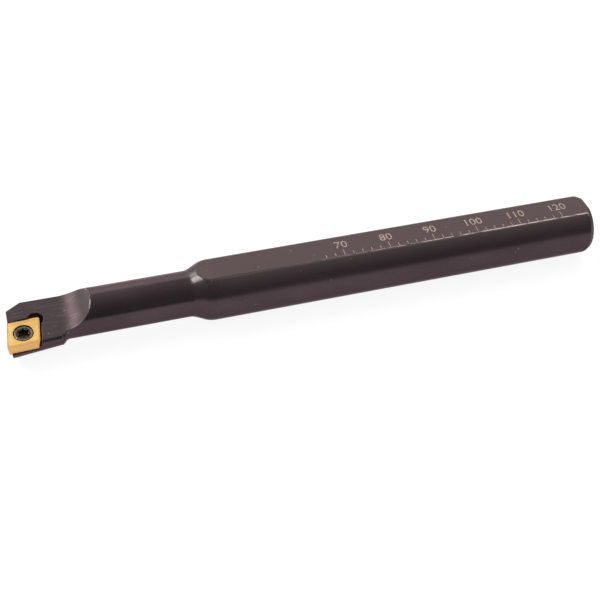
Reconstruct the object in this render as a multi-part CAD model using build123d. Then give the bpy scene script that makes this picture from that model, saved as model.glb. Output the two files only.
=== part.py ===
from build123d import *
from math import cos, radians, sin, tan
import os

# A right-hand boring bar with a screwed-down cutting insert. Millimetres.
# The bar lies along X: the middle of its rear face is the origin, and its head points to -X.
# +Z is up, square to the clamping flat, and the cutting edge is on the -Y side.

# Bar
overall_length = 127.0
shank_diameter = 12.7
flat_height = 5.6
rear_chamfer = 0.5
rear_chamfer_length = 1.0
neck_diameter = 9.6

# Shoulder from the shank down to the neck
shank_end_from_tip = 40.6
shoulder_angle = 25.0
shoulder_root_radius = 3.0
shoulder_rim_radius = 5.0

# Head: the front of the neck, widened by an off-centre taper towards the cutting side
head_length = 10.75
head_reach_front = 6.6
head_reach_rear = 5.7
head_step_length = 1.0
head_lobe_angle = 42.0
front_setback = 0.67
far_corner_from_tip = 3.75
far_corner_angle = 31.0

# Top face of the head, and the scoop where the cutter that milled it ran out
tip_offset = 6.4
face_tilt = 6.5
face_rise = 0.1
face_length = 10.6
scoop_radius = 7.5

# Cutting insert: a rhombus with sloping sides, held by its middle hole
inscribed_circle = 6.35
insert_angle = 80.0
insert_thickness = 2.38
insert_clearance = 7.0
nose_radius = 0.4
edge_relief = 5.0
insert_bore = 2.8
countersink_diameter = 4.2
countersink_angle = 60.0
land_width = 0.3
chipbreaker_width = 0.5
chipbreaker_depth = 0.1

# Pocket that the insert sits in, which dips towards the shank
pocket_rake = 3.0
seat_gap = 0.02
wall_gap = 0.03
wall_bearing_height = 1.0
wall_relief = 0.3
relief_diameter = 3.25
relief_inset = 1.25
relief_depth = 0.3

# Clamp screw
screw_diameter = 2.5
screw_length = 5.0
screw_head_diameter = 3.6
screw_head_rim = 0.2
screw_point_chamfer = 0.3
screw_gap = 0.04
socket_diameter = 2.5
socket_waist = 1.75
socket_flute_radius = 0.45
socket_depth = 1.0

# Worked out from the sizes above
shank_radius = shank_diameter / 2
neck_radius = neck_diameter / 2
half_angle = countersink_angle / 2
flank_slope = tan(radians(insert_clearance))
bisector = edge_relief + insert_angle / 2
over = 2 * shank_diameter
front = front_setback - overall_length

# Both the head's top face and the insert's are laid out from the cutting tip. The insert's is
# turned about the tilted face's own Y axis.
face_plane = Plane(
    origin=(-overall_length, -tip_offset, 0),
    x_dir=(1, 0, 0),
    z_dir=(0, -sin(radians(face_tilt)), cos(radians(face_tilt))),
)
tip_plane = face_plane * Rot(0, pocket_rake, 0)
side_edge = Vector(1, 0, 0).rotate(Axis.Z, edge_relief)
front_edge = Vector(1, 0, 0).rotate(Axis.Z, edge_relief + insert_angle)
nose_to_middle = (inscribed_circle / 2 - nose_radius) / sin(radians(insert_angle / 2))
insert_middle = Vector(nose_radius, nose_radius) + Vector(nose_to_middle, 0).rotate(Axis.Z, bisector)
insert_plane = tip_plane * Pos(insert_middle)


def rhombus_corner(inradius):
    """The corner of the insert's outline furthest from the cutting tip."""
    return (side_edge + front_edge) * (inradius / sin(radians(insert_angle)))


def rhombus(inset, height):
    """The insert's outline with rounded corners, set in from its edge, at a height over its top."""
    inradius = inscribed_circle / 2 - inset
    edge = 2 * inradius / sin(radians(insert_angle))
    tail = rhombus_corner(inradius)
    corners = [tail, tail - side_edge * edge, -tail, side_edge * edge - tail]
    outline = make_face(Polyline(*corners, close=True))
    radius = max(nose_radius - inset, nose_radius / 4)
    return Pos(0, 0, height) * fillet(outline.vertices(), radius)


def pocket_section(depth, relief):
    """The pocket's two walls at a depth under the insert's top, open to the front and the cutting side."""
    tail = rhombus_corner(inscribed_circle / 2 + wall_gap - depth * flank_slope)
    tail += side_edge * relief
    corners = [tail, tail - side_edge * over, tail - (side_edge + front_edge) * over, tail - front_edge * over]
    return Pos(0, 0, -depth) * make_face(Polyline(*corners, close=True))


def turned_blank():
    """The shank, shoulder and neck, turned in one piece."""
    shank_end = shank_end_from_tip - overall_length
    shoulder_length = (shank_radius - neck_radius) / tan(radians(shoulder_angle))
    root = (shank_end - shoulder_length, neck_radius)
    rim = (shank_end, shank_radius)
    outline = Polyline(
        (front, 0),
        (front, neck_radius),
        root,
        rim,
        (-rear_chamfer_length, shank_radius),
        (0, shank_radius - rear_chamfer),
        (0, 0),
        close=True,
    )
    # Each round may take up a little under half of the shoulder's slope
    slope_length = shoulder_length / cos(radians(shoulder_angle))
    largest = 0.45 * slope_length / tan(radians(shoulder_angle / 2))
    profile = make_face(outline)
    for corner, radius in ((root, shoulder_root_radius), (rim, shoulder_rim_radius)):
        vertex = profile.vertices().sort_by_distance((*corner, 0))[0]
        profile = fillet(vertex, min(radius, largest))
    return revolve(profile, Axis.X)


def lobe_section(x, reach):
    """A circle off the bar's axis that touches the neck on one side and stands out on the other."""
    offset = (reach - neck_radius) / 2
    middle = Vector(0, -offset, 0).rotate(Axis.X, head_lobe_angle)
    across = Plane(origin=(x, middle.Y, middle.Z), x_dir=(0, 1, 0), z_dir=(1, 0, 0))
    return across * Circle(neck_radius + offset)


def head_lobe():
    """The head tapers back from the tip, then steps down to the neck."""
    rear = head_length - overall_length
    nose = lobe_section(front, head_reach_front)
    back = lobe_section(rear, head_reach_rear)
    step = lobe_section(rear + head_step_length, neck_radius)
    return loft([nose, back], ruled=True) + loft([back, step], ruled=True)


def clamping_flat():
    """All that lies over the flat that runs along the shank."""
    return Pos(0, 0, flat_height) * extrude(Rectangle(2 * overall_length, over), over)


def head_face():
    """All that lies over the head's top face, with the round run-out at its rear."""
    face_end = (face_length, face_rise)
    scoop_top = (face_length + scoop_radius, face_rise + scoop_radius)
    outline = Polyline(
        scoop_top,
        (scoop_top[0], over),
        (-over, over),
        (-over, face_rise),
        face_end,
    )
    scoop = RadiusArc(face_end, scoop_top, -scoop_radius)
    profile = make_face([*outline.edges(), *scoop.edges()])
    return face_plane * extrude(Plane.XZ * profile, over, both=True)


def far_corner_waste():
    """The front corner away from the cutting edge is cut off."""
    normal = Vector(-sin(radians(far_corner_angle)), cos(radians(far_corner_angle)), 0)
    corner = Plane(origin=(far_corner_from_tip - overall_length, neck_radius, 0), z_dir=normal)
    return corner * extrude(Rectangle(over, over), over)


def insert_pocket():
    """The seat under the insert, with two sloping walls that bear on its flanks."""
    floor = insert_thickness + seat_gap
    bearing = floor - wall_bearing_height
    seat = loft([pocket_section(floor, 0), pocket_section(-over, 0)], ruled=True)
    relief = loft([pocket_section(bearing, wall_relief), pocket_section(-over, wall_relief)], ruled=True)
    corner = rhombus_corner(inscribed_circle / 2 + wall_gap)
    hole_middle = corner - corner.normalized() * relief_inset
    hole_bottom = floor + relief_depth
    hole = Pos(hole_middle.X, hole_middle.Y, -hole_bottom) * extrude(Circle(relief_diameter / 2), over)
    return insert_plane * (seat + relief + hole)


def tapped_hole():
    """The hole for the clamp screw, right through the head."""
    return insert_plane * extrude(Circle(screw_diameter / 2 + screw_gap), over, both=True)


def bar_body():
    """The bar, cut from one piece of steel."""
    bar = turned_blank() + head_lobe()
    for waste in (
        clamping_flat(),
        head_face(),
        far_corner_waste(),
        insert_pocket(),
        tapped_hole(),
    ):
        bar -= waste
    return bar


def cutting_insert():
    """The insert, with a sunken chipbreaker inside its narrow rim and a countersunk hole."""
    bottom_inset = insert_thickness * flank_slope
    solid = loft([rhombus(0, 0), rhombus(bottom_inset, -insert_thickness)], ruled=True)
    chipbreaker = loft(
        [rhombus(land_width, 0), rhombus(land_width + chipbreaker_width, -chipbreaker_depth)],
        ruled=True,
    )
    cone_depth = countersink_diameter / 2 / tan(radians(half_angle))
    countersink = Pos(0, 0, -cone_depth) * Cone(
        0.0001, countersink_diameter / 2, cone_depth, align=(Align.CENTER, Align.CENTER, Align.MIN)
    )
    bore = extrude(Circle(insert_bore / 2), insert_thickness, both=True)
    return insert_plane * (solid - chipbreaker - countersink - bore)


def clamp_screw():
    """The countersunk screw, with a six-lobed socket."""
    head_radius = screw_head_diameter / 2
    cone_gap = screw_gap / cos(radians(half_angle))
    cone_top = -(countersink_diameter / 2 - cone_gap - head_radius) / tan(radians(half_angle))
    cone_bottom = cone_top - (head_radius - screw_diameter / 2) / tan(radians(half_angle))
    top = cone_top + screw_head_rim
    point = top - screw_length
    outline = Polyline(
        (0, top),
        (head_radius, top),
        (head_radius, cone_top),
        (screw_diameter / 2, cone_bottom),
        (screw_diameter / 2, point + screw_point_chamfer),
        (screw_diameter / 2 - screw_point_chamfer, point),
        (0, point),
        close=True,
    )
    solid = revolve(Plane.XZ * make_face(outline), Axis.Z)
    flutes = PolarLocations(socket_waist / 2 + socket_flute_radius, 6)
    socket = Circle(socket_diameter / 2) - flutes * Circle(socket_flute_radius)
    return insert_plane * (solid - Pos(0, 0, top - socket_depth) * extrude(socket, over))


os.makedirs("parts", exist_ok=True)
for name, build in {
    "bar_body": bar_body,
    "cutting_insert": cutting_insert,
    "clamp_screw": clamp_screw,
}.items():
    export_step(build(), f"parts/{name}.step")
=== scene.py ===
from math import cos, pi, radians, sin

import bpy
from mathutils import Matrix, Vector


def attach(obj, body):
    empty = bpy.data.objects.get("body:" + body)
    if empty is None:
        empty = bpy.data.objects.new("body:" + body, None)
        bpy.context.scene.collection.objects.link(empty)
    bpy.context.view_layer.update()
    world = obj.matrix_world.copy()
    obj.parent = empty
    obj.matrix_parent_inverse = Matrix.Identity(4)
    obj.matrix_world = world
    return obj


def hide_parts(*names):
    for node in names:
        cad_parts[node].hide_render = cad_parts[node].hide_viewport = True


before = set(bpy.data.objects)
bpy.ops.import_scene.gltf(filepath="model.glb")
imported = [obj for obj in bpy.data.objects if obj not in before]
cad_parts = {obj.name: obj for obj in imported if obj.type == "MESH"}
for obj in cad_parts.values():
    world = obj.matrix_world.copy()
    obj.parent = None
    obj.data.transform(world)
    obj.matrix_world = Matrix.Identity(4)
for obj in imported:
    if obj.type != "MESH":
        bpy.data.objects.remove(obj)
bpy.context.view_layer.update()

# Camera: a still taken from close by, over the cutting side and level with the head's end of the
# bar. The rear end is further away, so the shank looks a little narrower there.
photo_width = 600
focal_length_px = 1050.8
sensor_width = 36.0
camera_place = (-0.116507, -0.157477, 0.147818)
camera_azimuth = radians(-17.887)
camera_elevation = radians(43.224)
camera_roll = radians(2.017)
bpy.ops.object.camera_add()
camera = bpy.context.object
camera.name = "camera"
camera.data.sensor_width = sensor_width
camera.data.lens = sensor_width * focal_length_px / photo_width
camera.data.clip_start = 0.01
camera.matrix_world = (
    Matrix.Translation(camera_place)
    @ Matrix.Rotation(camera_azimuth, 4, "Z")
    @ Matrix.Rotation(radians(90) - camera_elevation, 4, "X")
    @ Matrix.Rotation(camera_roll, 4, "Z")
)
bpy.context.scene.camera = camera


# Bar: round steel, turned to its shoulder and neck, milled on the head and along the flat, then
# blackened in a hot bath. The thin oxide keeps the tool marks and a brown tinge, and it wears
# through first on the edges, which are broken by hand before the bath.
class Value:
    """A number that changes over a surface. Sums and products of such numbers add Math nodes."""

    def __init__(self, nodes, socket):
        self.nodes = nodes
        self.socket = socket

    def joined(self, operation, first, second):
        return self.nodes.add("ShaderNodeMath", {"operation": operation}, {0: first, 1: second})

    def __add__(self, other):
        return self.joined("ADD", self, other)

    def __radd__(self, other):
        return self.joined("ADD", other, self)

    def __sub__(self, other):
        return self.joined("SUBTRACT", self, other)

    def __rsub__(self, other):
        return self.joined("SUBTRACT", other, self)

    def __mul__(self, other):
        return self.joined("MULTIPLY", self, other)

    def __rmul__(self, other):
        return self.joined("MULTIPLY", other, self)


class Nodes:
    """A tree of nodes, added by type with their settings and the values or links of their sockets."""

    def __init__(self, tree):
        self.tree = tree

    def feed(self, socket, value):
        if isinstance(value, Value):
            self.tree.links.new(value.socket, socket)
        else:
            socket.default_value = value

    def add(self, kind, settings=None, values=None, output=0):
        node = self.tree.nodes.new(kind)
        for name, setting in (settings or {}).items():
            setattr(node, name, setting)
        for name, value in (values or {}).items():
            self.feed(node.inputs[name], value)
        return Value(self, node.outputs[output])

    def split(self, vector):
        """The three parts of a vector."""
        first = self.add("ShaderNodeSeparateXYZ", None, {0: vector})
        return [Value(self, part) for part in first.socket.node.outputs]

    def ramp(self, value, none, whole):
        """A zone: 0 up to one mark and 1 from the other on, whichever of the two is the higher."""
        values = {"Value": value, "From Min": none, "From Max": whole}
        return self.add("ShaderNodeMapRange", {"interpolation_type": "SMOOTHSTEP"}, values)

    def band(self, value, rise, fall):
        """A zone with two ends."""
        return self.ramp(value, *rise) * self.ramp(value, *fall)

    def blend(self, factor, first, second):
        """A colour between two."""
        pair = {0: factor, 6: first, 7: second}
        return self.add("ShaderNodeMix", {"data_type": "RGBA", "blend_type": "MIX"}, pair, output=2)

    def vector(self, operation, first, second, output=0):
        return self.add("ShaderNodeVectorMath", {"operation": operation}, {0: first, 1: second}, output)


class Finish(Nodes):
    """One material, laid out on its piece's own coordinates."""

    def __init__(self, name, metallic, specular=0.5):
        self.material = bpy.data.materials.new(name)
        self.material.use_nodes = True
        super().__init__(self.material.node_tree)
        self.shader = self.tree.nodes["Principled BSDF"]
        self.shader.inputs["Metallic"].default_value = metallic
        self.shader.inputs["Specular IOR Level"].default_value = specular
        self.place = self.add("ShaderNodeTexCoord", output="Object")
        self.normal = Value(self, self.place.socket.node.outputs["Normal"])

    def noise(self, scale, detail=2.0, rough=0.5, turn=(0, 0, 0)):
        """Cloudy noise around 0.5, with features per metre along each of the piece's axes."""
        values = {"Vector": self.place, "Scale": scale, "Rotation": turn}
        stretched = self.add("ShaderNodeMapping", {"vector_type": "POINT"}, values)
        values = {"Vector": stretched, "Scale": 1.0, "Detail": detail, "Roughness": rough}
        return self.add("ShaderNodeTexNoise", None, values)

    def about_hole(self):
        """Coordinates from the middle of the insert's hole, level with the insert's top."""
        values = {"Vector": self.place, "Location": insert_hole, "Rotation": insert_frame.to_euler()}
        return self.add("ShaderNodeMapping", {"vector_type": "TEXTURE"}, values)

    def from_hole(self):
        """Distance from the axis of the insert's hole."""
        level = self.vector("MULTIPLY", self.about_hole(), (1, 1, 0))
        return self.vector("LENGTH", level, (0, 0, 0), output=1)

    def relief(self, height, depth):
        """The shading of a fine relief, with its depth in metres."""
        values = {"Height": height, "Distance": depth, "Strength": 1.0}
        self.feed(self.shader.inputs["Normal"], self.add("ShaderNodeBump", None, values))

    def coat(self, piece, colour, roughness, slot=0):
        """Gives the finish its colour and roughness, and lays it on a piece."""
        self.feed(self.shader.inputs["Base Color"], colour)
        self.feed(self.shader.inputs["Roughness"], roughness)
        piece.material_slots[slot].material = self.material


def finished_copy(node, name, edge):
    """A copy of a node with its edges broken. Faces of the broken edges get the second slot."""
    bpy.ops.object.select_all(action="DESELECT")
    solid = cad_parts[node]
    solid.select_set(True)
    bpy.context.view_layer.objects.active = solid
    bpy.ops.object.duplicate()
    piece = bpy.context.object
    piece.name = name
    piece.data.name = name
    bpy.ops.object.mode_set(mode="EDIT")
    bpy.ops.mesh.select_all(action="SELECT")
    bpy.ops.mesh.remove_doubles(threshold=weld_distance)
    bpy.ops.mesh.dissolve_limited(angle_limit=level_angle)
    bpy.ops.object.mode_set(mode="OBJECT")
    while len(piece.material_slots) < 2:
        bpy.ops.object.material_slot_add()
    breaking = piece.modifiers.new("edges", "BEVEL")
    breaking.limit_method = "ANGLE"
    breaking.angle_limit = sharp_angle
    breaking.width = edge
    breaking.segments = 2
    breaking.use_clamp_overlap = False
    breaking.material = 1
    bpy.ops.object.modifier_apply(modifier=breaking.name)
    bpy.ops.object.shade_smooth_by_angle(angle=sharp_angle)
    evening = piece.modifiers.new("evening", "WEIGHTED_NORMAL")
    evening.keep_sharp = True
    evening.weight = 100
    bpy.ops.object.modifier_apply(modifier=evening.name)
    return piece


weld_distance = 1e-6
level_angle = radians(0.5)
sharp_angle = radians(24)
bar_edge = 0.00012
face_tilt = radians(6.5)
pocket_rake = radians(3)
insert_hole = Vector((-0.1235521, -0.0029491, 0.0002113))
insert_frame = (
    Matrix.Translation(insert_hole)
    @ Matrix.Rotation(face_tilt, 4, "X")
    @ Matrix.Rotation(pocket_rake, 4, "Y")
)
bar = finished_copy("bar_body", "bar", bar_edge)
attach(bar, "bar")
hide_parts("bar_body")

oxide = (0.080, 0.056, 0.063, 1)
oxide_deep = (0.066, 0.044, 0.051, 1)
oxide_top = (0.066, 0.047, 0.049, 1)
oxide_flat = (0.078, 0.056, 0.055, 1)
oxide_shoulder = (0.080, 0.070, 0.070, 1)
oxide_scoop_lighter = (0.150, 0.118, 0.121, 1)
oxide_painted_light = (0.126, 0.092, 0.099, 1)
painted_light_far = (0.178, 0.134, 0.138, 1)
painted_highlight_edge = (0.210, 0.160, 0.165, 1)
oxide_bare = (0.150, 0.122, 0.120, 1)
painted_shade_black = (0.022, 0.014, 0.016, 1)
oxide_glint = (0.50, 0.45, 0.46, 1)
painted_gold_reflection = (0.560, 0.245, 0.080, 1)
speck = (0.34, 0.29, 0.27, 1)

blackened = Finish("blackened_steel", metallic=0.85)
blackened.shader.inputs["Specular Tint"].default_value = oxide_glint
along, _, height = blackened.split(blackened.place)
lean_along, lean_across, lean_up = blackened.split(blackened.normal)

# Zones of the bar. Each pair says where a zone ends and where it is whole, in metres along an axis
# or as a part of the surface's normal.
head_end = (-0.1085, -0.1100)
shank_end = (-0.0900, -0.0800)
shoulder_root = (-0.0905, -0.0893)
shoulder_rim = (-0.0858, -0.0870)
shoulder_height = (0.0040, 0.0048)
flat_level = (0.00557, 0.00559)
lean_of_top = (0.40, 0.62)
lean_of_scoop = (0.88, 0.66)
lean_to_head = (-0.40, -0.60)
lean_beside_flat = (0.35, 0.86)
lean_at_edge = (0.835, 0.862)
chamfer_least = (0.20, 0.40)
chamfer_most = (0.80, 0.60)
far_least = (0.14, 0.37)
far_most = (0.80, 0.55)
on_head = blackened.ramp(along, *head_end)
on_top = on_head * blackened.ramp(lean_up, *lean_of_top)
on_shank = blackened.ramp(along, *shank_end)
on_flat = blackened.ramp(height, *flat_level)
on_shoulder = blackened.band(along, shoulder_root, shoulder_rim)
on_shoulder = on_shoulder * blackened.ramp(height, *shoulder_height) * (1 - on_flat)
in_scoop = on_head * blackened.ramp(lean_up, *lean_of_scoop) * blackened.ramp(lean_along, *lean_to_head)
# Painted light: the upper side of the shank beside the flat, and the rear chamfer, get a lighter oxide
beside_flat = on_shank * (1 - on_flat) * blackened.ramp(lean_up, *lean_beside_flat)
# Painted highlight: a pale line on the shank just under the flat's near edge
highlight_at_flat_edge = beside_flat * blackened.ramp(lean_up, *lean_at_edge)
on_chamfer = blackened.band(lean_along, chamfer_least, chamfer_most) * on_shank
# Painted light: the far side of the neck and head, which faces the lamps, is made lighter
far_side_painted_light = blackened.band(lean_across, far_least, far_most) * (1 - on_shank)

# Zones around the insert, in metres from the middle of its hole: the pocket's walls, with a painted
# reflection of its gold, and the painted shade line under the head's top face
pocket_reach = (0.0056, 0.0050)
pocket_top = (-0.00005, -0.00015)
pocket_floor = (-0.0029, -0.0026)
pocket_front = (-0.0005, 0.0002)
pocket_side = (-0.0027, -0.0025)
pocket_rear = (0.0066, 0.0061)
ledge_top = (-0.00125, -0.00135)
ledge_bottom = (-0.00155, -0.00145)
relief_hole = (0.0010, 0.0018)
line_height = (-0.00046, -0.00022)
line_side = (-0.0020, -0.0024)
line_front = (0.0031, 0.0035)
line_rear = (0.0102, 0.0075)
lean_of_wall = (0.55, 0.35)
rearwards, sideways, upwards = blackened.split(blackened.about_hole())
upright = blackened.ramp(lean_up, *lean_of_wall)
on_ledge = blackened.band(upwards, ledge_top, ledge_bottom)
# Painted reflection: the insert's gold is painted onto the pocket's walls, less of it in the relief
# hole
wall_with_painted_reflection = blackened.ramp(blackened.from_hole(), *pocket_reach)
wall_with_painted_reflection = wall_with_painted_reflection * (upright + on_ledge - upright * on_ledge)
wall_with_painted_reflection = wall_with_painted_reflection * blackened.band(upwards, pocket_top, pocket_floor)
wall_with_painted_reflection = wall_with_painted_reflection * blackened.ramp(rearwards + sideways, *pocket_front)
wall_with_painted_reflection = wall_with_painted_reflection * blackened.ramp(sideways, *pocket_side)
wall_with_painted_reflection = wall_with_painted_reflection * blackened.ramp(rearwards - sideways, *pocket_rear)
wall_with_painted_reflection = wall_with_painted_reflection * (1 - 0.4 * blackened.ramp(sideways, *relief_hole))
# Painted shade: a dark line on the head's side just under the near edge of its top face
painted_shade_under_face = on_head * upright * blackened.ramp(upwards, *line_height)
painted_shade_under_face = painted_shade_under_face * blackened.ramp(sideways, *line_side)
painted_shade_under_face = painted_shade_under_face * blackened.band(rearwards, line_front, line_rear)

# Tool marks, cloudy oxide and dust
cloud = blackened.noise((70, 160, 160), detail=4)
grain = blackened.noise((5200, 5200, 5200))
turned = blackened.noise((5200, 130, 130))
ground = blackened.noise((150, 3800, 3800))
milled = blackened.noise((420, 2700, 420), detail=4, rough=0.65, turn=(radians(-6), 0, 0))
lines = turned + on_flat * (ground - turned) + on_top * (milled - turned)
dust = blackened.ramp(blackened.noise((1500, 1500, 1500), detail=1), 0.765, 0.80)

colour = blackened.blend(blackened.ramp(cloud, 0.30, 0.72), oxide_deep, oxide)
for zone, tint in (
    (on_flat * 0.9, oxide_flat),
    # painted light on the shank's upper side beside the flat
    (beside_flat, oxide_painted_light),
    # painted highlight along the flat's near edge
    (highlight_at_flat_edge, painted_highlight_edge),
    # painted light on the rear chamfer
    (on_chamfer, oxide_painted_light),
    (on_shoulder, oxide_shoulder),
    # painted light on the far side of the neck and head
    (far_side_painted_light, painted_light_far),
    (on_top * 0.8, oxide_top),
    # lighter on the scoop
    (in_scoop, oxide_scoop_lighter),
    (on_top * blackened.ramp(milled, 0.48, 0.66) * 0.35, oxide_bare),
    (0.12 * blackened.ramp(grain, 0.35, 0.75), oxide_bare),
    # painted reflection of the insert's gold on the pocket's walls
    (wall_with_painted_reflection, painted_gold_reflection),
    # painted shade under the head's top face
    (painted_shade_under_face, painted_shade_black),
    (dust * 0.55, speck),
):
    colour = blackened.blend(zone, colour, tint)
satin = 0.15 + 0.08 * on_shank + 0.05 * on_flat + 0.12 * on_top + 0.35 * wall_with_painted_reflection
satin = satin + 0.06 * cloud + 0.06 * grain
blackened.relief(0.35 * grain + lines + 1.5 * on_top * milled, depth=0.000004)
blackened.coat(bar, colour, satin)

# Edges, rubbed through to steel beside the flat, more so to the rear, and on the scoop's rim. The pale
# steel there is also a painted highlight for the light these edges catch.
edge_oxide = (0.084, 0.060, 0.066, 1)
edge_steel_and_highlight = (0.56, 0.45, 0.45, 1)
rub_front = (-0.082, -0.012)
rub_rear = (-0.0006, -0.0012)
rub_height = (0.0050, 0.0054)
rub_side = (0.001, -0.001)
rim_front = (-0.1140, -0.1120)
rim_rear = (-0.1080, -0.1095)
rim_bottom = (0.0028, 0.0036)
rim_top = (0.0049, 0.0044)
rubbed_and_highlit = Finish("rubbed_and_highlit_edge", metallic=0.9)
rubbed_and_highlit.shader.inputs["Specular Tint"].default_value = oxide_glint
rubs = rubbed_and_highlit.noise((420, 1100, 1100), detail=4, rough=0.6)
along, across, height = rubbed_and_highlit.split(rubbed_and_highlit.place)
handled_and_highlit = rubbed_and_highlit.band(along, rub_front, rub_rear)
handled_and_highlit = handled_and_highlit * rubbed_and_highlit.ramp(height, *rub_height) * rubbed_and_highlit.ramp(across, *rub_side)
scoop_rim = rubbed_and_highlit.band(along, rim_front, rim_rear) * rubbed_and_highlit.band(height, rim_bottom, rim_top)
# edge wear, and a painted highlight along the same edges
worn_through_and_highlit = (handled_and_highlit + 0.9 * scoop_rim) * rubbed_and_highlit.ramp(rubs, 0.30, 0.58)
rubbed_and_highlit.coat(bar, rubbed_and_highlit.blend(worn_through_and_highlit, edge_oxide, edge_steel_and_highlight), 0.24 + 0.16 * rubs, slot=1)


# Depth scale: plain figures and ticks burnt into the oxide of the flat by a laser, which leaves a
# pale tan line with no depth to feel. The figures are millimetres from the cutting tip.
scale_first = 70
scale_last = 120
scale_step = 10
tick_step = 2
tip_place = -0.127
figure_height = 0.0021
capital_part = 0.72
figure_baseline = -0.0004
tick_foot = -0.0027
tick_long = 0.0017
tick_short = 0.0009
tick_thick = 0.00014
mark_top = 0.005604
mark_thick = 0.000006


def grown_marks(flat_piece):
    """Gives flat marks a little thickness, so that they are closed pieces."""
    bpy.ops.object.select_all(action="DESELECT")
    flat_piece.select_set(True)
    bpy.context.view_layer.objects.active = flat_piece
    bpy.ops.object.transform_apply(location=True, rotation=True, scale=True)
    thick = flat_piece.modifiers.new("thick", "SOLIDIFY")
    thick.thickness = mark_thick
    thick.offset = -1
    bpy.ops.object.modifier_apply(modifier=thick.name)
    return flat_piece


marks = []
for depth in range(scale_first, scale_last + 1, scale_step):
    bpy.ops.object.select_all(action="DESELECT")
    bpy.ops.object.text_add(location=(tip_place + depth / 1000, figure_baseline, mark_top))
    figure = bpy.context.object
    figure.data.body = str(depth)
    figure.data.align_x = "CENTER"
    figure.data.size = figure_height / capital_part
    figure.data.resolution_u = 4
    bpy.ops.object.convert(target="MESH")
    marks.append(grown_marks(bpy.context.object))
for depth in range(scale_first - 2 * tick_step, scale_last + 1, tick_step):
    tick_length = tick_short if depth % scale_step else tick_long
    middle = (tip_place + depth / 1000, tick_foot + tick_length / 2, mark_top)
    bpy.ops.object.select_all(action="DESELECT")
    bpy.ops.mesh.primitive_plane_add(size=1, location=middle)
    bpy.context.object.scale = (tick_thick, tick_length, 1)
    marks.append(grown_marks(bpy.context.object))
bpy.ops.object.select_all(action="DESELECT")
for mark in marks:
    mark.select_set(True)
bpy.context.view_layer.objects.active = marks[0]
bpy.ops.object.join()
depth_scale = bpy.context.object
depth_scale.name = "depth_scale"
depth_scale.data.name = "depth_scale"
bpy.ops.object.material_slot_add()
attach(depth_scale, "bar")

burnt_pale = (0.50, 0.385, 0.315, 1)
burnt_thin = (0.29, 0.215, 0.185, 1)
burnt = Finish("laser_mark", metallic=0.3)
patchy = burnt.noise((2600, 2600, 2600), detail=3, rough=0.7)
colour = burnt.blend(burnt.ramp(patchy, 0.32, 0.58), burnt_thin, burnt_pale)
burnt.coat(depth_scale, colour, 0.5 + 0.2 * patchy)


# Insert: carbide powder pressed to shape with its chipbreaker, sintered, ground on its sides and
# coated by vapour with a thin gold-coloured nitride. The cutting edge is honed a little round.
hone = 0.00005
insert = finished_copy("cutting_insert", "insert", hone)
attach(insert, "insert")
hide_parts("cutting_insert")

gold_top = (0.790, 0.500, 0.152, 1)
gold_deep = (0.725, 0.435, 0.125, 1)
gold_painted_sheen = (0.830, 0.555, 0.225, 1)
gold_slope_painted_shade = (0.640, 0.340, 0.080, 1)
gold_near = (0.500, 0.265, 0.062, 1)
gold_land = (0.610, 0.335, 0.120, 1)
gold_flank = (0.830, 0.460, 0.170, 1)
gold_painted_shade_hole = (0.075, 0.030, 0.008, 1)
honed_warm = (0.83, 0.48, 0.15, 1)
honed_pale = (0.90, 0.61, 0.27, 1)

gold = Finish("gold_coated_carbide", metallic=0.9)
sintered = gold.noise((9000, 9000, 9000), detail=3, rough=0.6)
nitride = gold.noise((500, 500, 500), detail=3)

# Zones of the insert, whose cutting edges lie 5 and 85 degrees off the bar's axis
front_part = (-0.0008, -0.0030)
near_part = (-0.0022, -0.0027)
front_land = (0.00285, 0.00290)
countersink_edge = (0.00216, 0.00209)
lean_of_slope = (0.995, 0.985)
lean_of_top = (0.2, 0.7)
off_side_edge = (cos(radians(95)), sin(radians(95)), 0)
off_front_edge = (cos(radians(175)), sin(radians(175)), 0)
lean_up = gold.split(gold.normal)[2]
on_level = insert_frame.to_3x3() @ Vector((0, 0, 1))
on_level = gold.vector("DOT_PRODUCT", gold.normal, on_level, output=1)
near_hole = gold.about_hole()
rearwards = gold.split(near_hole)[0]
from_side = gold.vector("DOT_PRODUCT", near_hole, off_side_edge, output=1)
from_front = gold.vector("DOT_PRODUCT", near_hole, off_front_edge, output=1)
from_front = gold.add("ShaderNodeMath", {"operation": "ABSOLUTE"}, {0: from_front})

colour = gold.blend(gold.ramp(nitride, 0.30, 0.70), gold_deep, gold_top)
for zone, tint in (
    # painted sheen, lighter towards the insert's front
    (0.8 * gold.ramp(rearwards, *front_part), gold_painted_sheen),
    # painted shade on the chipbreaker's slopes
    (0.8 * gold.ramp(on_level, *lean_of_slope), gold_slope_painted_shade),
    (0.7 * gold.ramp(from_side, *near_part), gold_near),
    (gold.ramp(from_front, *front_land), gold_land),
    (1 - gold.ramp(lean_up, *lean_of_top), gold_flank),
    # painted shade in the insert's hole around the screw
    (gold.ramp(gold.from_hole(), *countersink_edge), gold_painted_shade_hole),
):
    colour = gold.blend(zone, colour, tint)
gold.relief(sintered, depth=0.000004)
gold.coat(insert, colour, 0.34 + 0.12 * sintered)

honed = Finish("honed_gold_edge", metallic=0.9)
shine = honed.noise((2500, 2500, 2500))
honed.coat(insert, honed.blend(shine, honed_warm, honed_pale), 0.28 + 0.1 * shine, slot=1)


# Clamp screw: cold-headed and thread-rolled from alloy steel, with a six-lobed socket punched into
# its countersunk head, then hardened and blackened.
thread_radius = 0.00125
thread_root = 0.00100
thread_pitch = 0.00045
thread_top = -0.00167
thread_turns = 7
thread_flank = 0.0002
thread_sunk = 0.00002
screw_cut = -0.00147
screw_point = -0.0052395
point_chamfer = 0.0002
point_scale = 0.8
screw_edge = 0.00009
thread_steps = 48
thread_smoothing = radians(30)
root_step = thread_radius - thread_root
root_scale = thread_root / thread_radius

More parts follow.
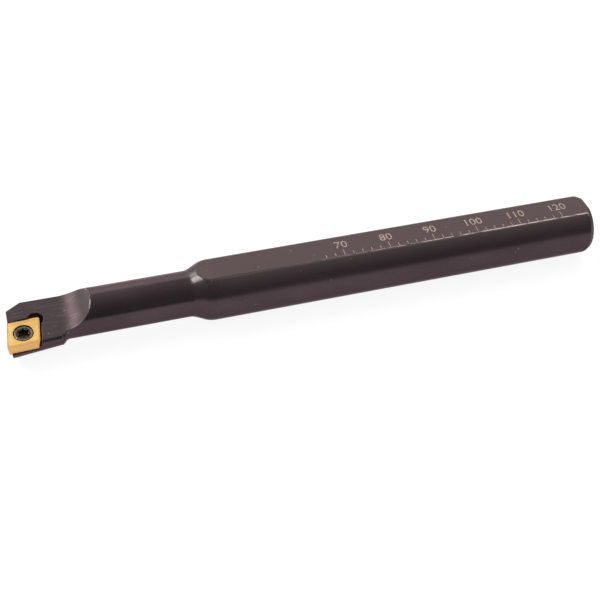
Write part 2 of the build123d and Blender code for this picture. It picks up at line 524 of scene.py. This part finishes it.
screw = finished_copy("clamp_screw", "screw", screw_edge)
bpy.ops.object.select_all(action="DESELECT")
screw.select_set(True)
screw.matrix_world = insert_frame.inverted()
bpy.context.view_layer.update()
bpy.ops.object.transform_apply(location=True, rotation=True, scale=True)
bpy.ops.object.mode_set(mode="EDIT")
bpy.ops.mesh.select_all(action="SELECT")
bpy.ops.mesh.bisect(plane_co=(0, 0, screw_cut), plane_no=(0, 0, 1), clear_inner=True, use_fill=False)
bpy.ops.mesh.select_all(action="DESELECT")
bpy.ops.mesh.select_non_manifold()
reached = screw_cut
for level, narrowing in (
    (screw_cut - root_step, root_scale),
    (screw_point + point_chamfer, 1),
    (screw_point, point_scale),
):
    bpy.ops.mesh.extrude_region_move(TRANSFORM_OT_translate={"value": (0, 0, level - reached)})
    bpy.ops.transform.resize(value=(narrowing, narrowing, 1), center_override=(0, 0, 0))
    reached = level
bpy.ops.mesh.edge_face_add()
bpy.ops.object.mode_set(mode="OBJECT")

bpy.ops.object.select_all(action="DESELECT")
bpy.ops.mesh.primitive_circle_add(vertices=3, radius=1, fill_type="NOTHING")
thread = bpy.context.object
thread.name = "thread"
corners = (
    (thread_root - thread_sunk, -thread_flank),
    (thread_radius, 0),
    (thread_root - thread_sunk, thread_flank),
)
for corner, (reach, level) in zip(thread.data.vertices, corners):
    corner.co = (reach, 0, thread_top + level)
winding = thread.modifiers.new("winding", "SCREW")
winding.axis = "Z"
winding.angle = 2 * pi
winding.steps = thread_steps
winding.render_steps = thread_steps
winding.screw_offset = -thread_pitch
winding.iterations = thread_turns
winding.use_normal_calculate = True
bpy.ops.object.modifier_apply(modifier=winding.name)
bpy.ops.object.mode_set(mode="EDIT")
bpy.ops.mesh.select_all(action="DESELECT")
bpy.ops.mesh.select_non_manifold()
bpy.ops.mesh.fill()
bpy.ops.mesh.select_all(action="SELECT")
bpy.ops.mesh.normals_make_consistent(inside=False)
bpy.ops.object.mode_set(mode="OBJECT")
screw.select_set(True)
bpy.context.view_layer.objects.active = screw
bpy.ops.object.join()
screw = bpy.context.object
screw.matrix_world = insert_frame
bpy.context.view_layer.update()
bpy.ops.object.transform_apply(location=True, rotation=True, scale=True)
bpy.ops.object.shade_smooth_by_angle(angle=thread_smoothing)
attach(screw, "screw")
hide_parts("clamp_screw")

screw_socket_painted_shade = (0.034, 0.026, 0.025, 1)
screw_dark = (0.075, 0.060, 0.052, 1)
screw_worn = (0.150, 0.122, 0.100, 1)
screw_ring = (0.235, 0.182, 0.140, 1)
screw_gap_painted_shade = (0.110, 0.050, 0.014, 1)
burnished_dark = (0.20, 0.150, 0.11, 1)
burnished_bright = (0.44, 0.345, 0.26, 1)

# Zones of the screw's head, by distance from its axis: a ring worn bright round the socket, which
# is painted dark as shade, and the broken edge, which is bright between the socket's rim and its
# outer rim, painted dark brown as the shaded gap to the insert's gold outside
ring_reach = (0.00136, 0.00166)
socket_reach = (0.00156, 0.00136)
socket_rim = (0.00150, 0.00140)
outer_rim = (0.00173, 0.00177)
hardened = Finish("dark_screw_steel", metallic=0.85)
scuffs = hardened.noise((2600, 2600, 2600), detail=4, rough=0.6)
reach = hardened.from_hole()
worn_ring = hardened.ramp(reach, *ring_reach) * hardened.ramp(scuffs, 0.30, 0.62)
colour = hardened.blend(hardened.ramp(scuffs, 0.38, 0.66), screw_dark, screw_worn)
# painted shade in the socket
colour = hardened.blend(hardened.ramp(reach, *socket_reach), colour, screw_socket_painted_shade)
colour = hardened.blend(worn_ring, colour, screw_ring)
hardened.relief(scuffs, depth=0.000006)
hardened.coat(screw, colour, 0.26 + 0.2 * scuffs)

burnished = Finish("burnished_screw_edge", metallic=0.9)
rubs = burnished.noise((4000, 4000, 4000), detail=3)
reach = burnished.from_hole()
colour = burnished.blend(burnished.ramp(rubs, 0.35, 0.65), burnished_dark, burnished_bright)
colour = burnished.blend(burnished.ramp(reach, *socket_rim), colour, screw_dark)
# painted shade: the outer rim stands in for the shaded gap to the insert's gold
colour = burnished.blend(burnished.ramp(reach, *outer_rim), colour, screw_gap_painted_shade)
burnished.coat(screw, colour, 0.2 + 0.2 * rubs, slot=1)


# Table: paper that glows only where it is seen or mirrored, so it stays white but for a faint
# shadow. Soft light finds it dark grey, so little of that comes back up on the bar.
floor_level = -0.00635
floor_size = 8
paper_grey = (0.20, 0.20, 0.20, 1)
paper_glow = 0.90
bpy.ops.object.select_all(action="DESELECT")
bpy.ops.mesh.primitive_plane_add(size=floor_size, location=(0, 0, floor_level))
floor = bpy.context.object
floor.name = "floor"
bpy.ops.object.material_slot_add()

paper = Finish("white_paper", metallic=0.0, specular=0.1)
seen = paper.add("ShaderNodeLightPath", output="Is Camera Ray")
seen = seen + paper.add("ShaderNodeLightPath", output="Is Glossy Ray")
seen = seen + paper.add("ShaderNodeLightPath", output="Is Transmission Ray")
glow = paper.add("ShaderNodeEmission", None, {"Color": (1, 1, 1, 1), "Strength": paper_glow})
dim = paper.add("ShaderNodeEmission", None, {"Color": (1, 1, 1, 1), "Strength": 0.0})
added = paper.add("ShaderNodeMixShader", None, {0: seen, 1: dim, 2: glow})
both = paper.add("ShaderNodeAddShader", None, {0: Value(paper, paper.shader.outputs[0]), 1: added})
paper.feed(paper.tree.nodes["Material Output"].inputs["Surface"], both)
paper.coat(floor, paper_grey, 0.9)


# Studio light: a dim room, brighter behind the bar, with a wide soft lamp behind it and others aimed
# at the scoop, the shoulder and the shank, as in a light tent that is open on the camera's side.
# Seen directly, the room is white.
room_front = -0.95
room_back = 0.65
room_dim = 0.24
room_bright = 0.75
world = bpy.data.worlds.new("studio")
bpy.context.scene.world = world
world.use_nodes = True
room = Nodes(world.node_tree)
backwards = room.split(room.add("ShaderNodeTexCoord", output="Generated"))[1]
level = room.ramp(backwards, room_front, room_back)
level = room_dim + (room_bright - room_dim) * level
level = level + room.add("ShaderNodeLightPath", output="Is Camera Ray")
room.feed(room.tree.nodes["Background"].inputs["Color"], level)
room.feed(room.tree.nodes["Background"].inputs["Strength"], 1.0)


def soft_lamp(name, place, target, width, depth, power):
    """A wide flat lamp that looks at a point on the bar."""
    bpy.ops.object.select_all(action="DESELECT")
    bpy.ops.object.light_add(type="AREA", location=place)
    lamp = bpy.context.object
    lamp.name = name
    lamp.data.shape = "RECTANGLE"
    lamp.data.size = width
    lamp.data.size_y = depth
    lamp.data.energy = power
    lamp.rotation_euler = (Vector(target) - Vector(place)).to_track_quat("-Z", "Y").to_euler()


soft_lamp("back_lamp", (0.10, 0.80, 0.58), (-0.06, 0, 0), width=1.6, depth=0.6, power=3.2)
soft_lamp("scoop_lamp", (-0.69, 0.62, 0.60), (-0.11, 0, 0), width=0.50, depth=0.45, power=2.2)
soft_lamp("shoulder_lamp", (-0.592, 0.238, 0.69), (-0.09, 0, 0), width=0.34, depth=0.15, power=1.42)
soft_lamp("top_lamp", (0.42, 0.26, 0.85), (-0.02, 0, 0), width=0.30, depth=0.22, power=0.6)
bpy.context.scene.view_settings.view_transform = "Standard"
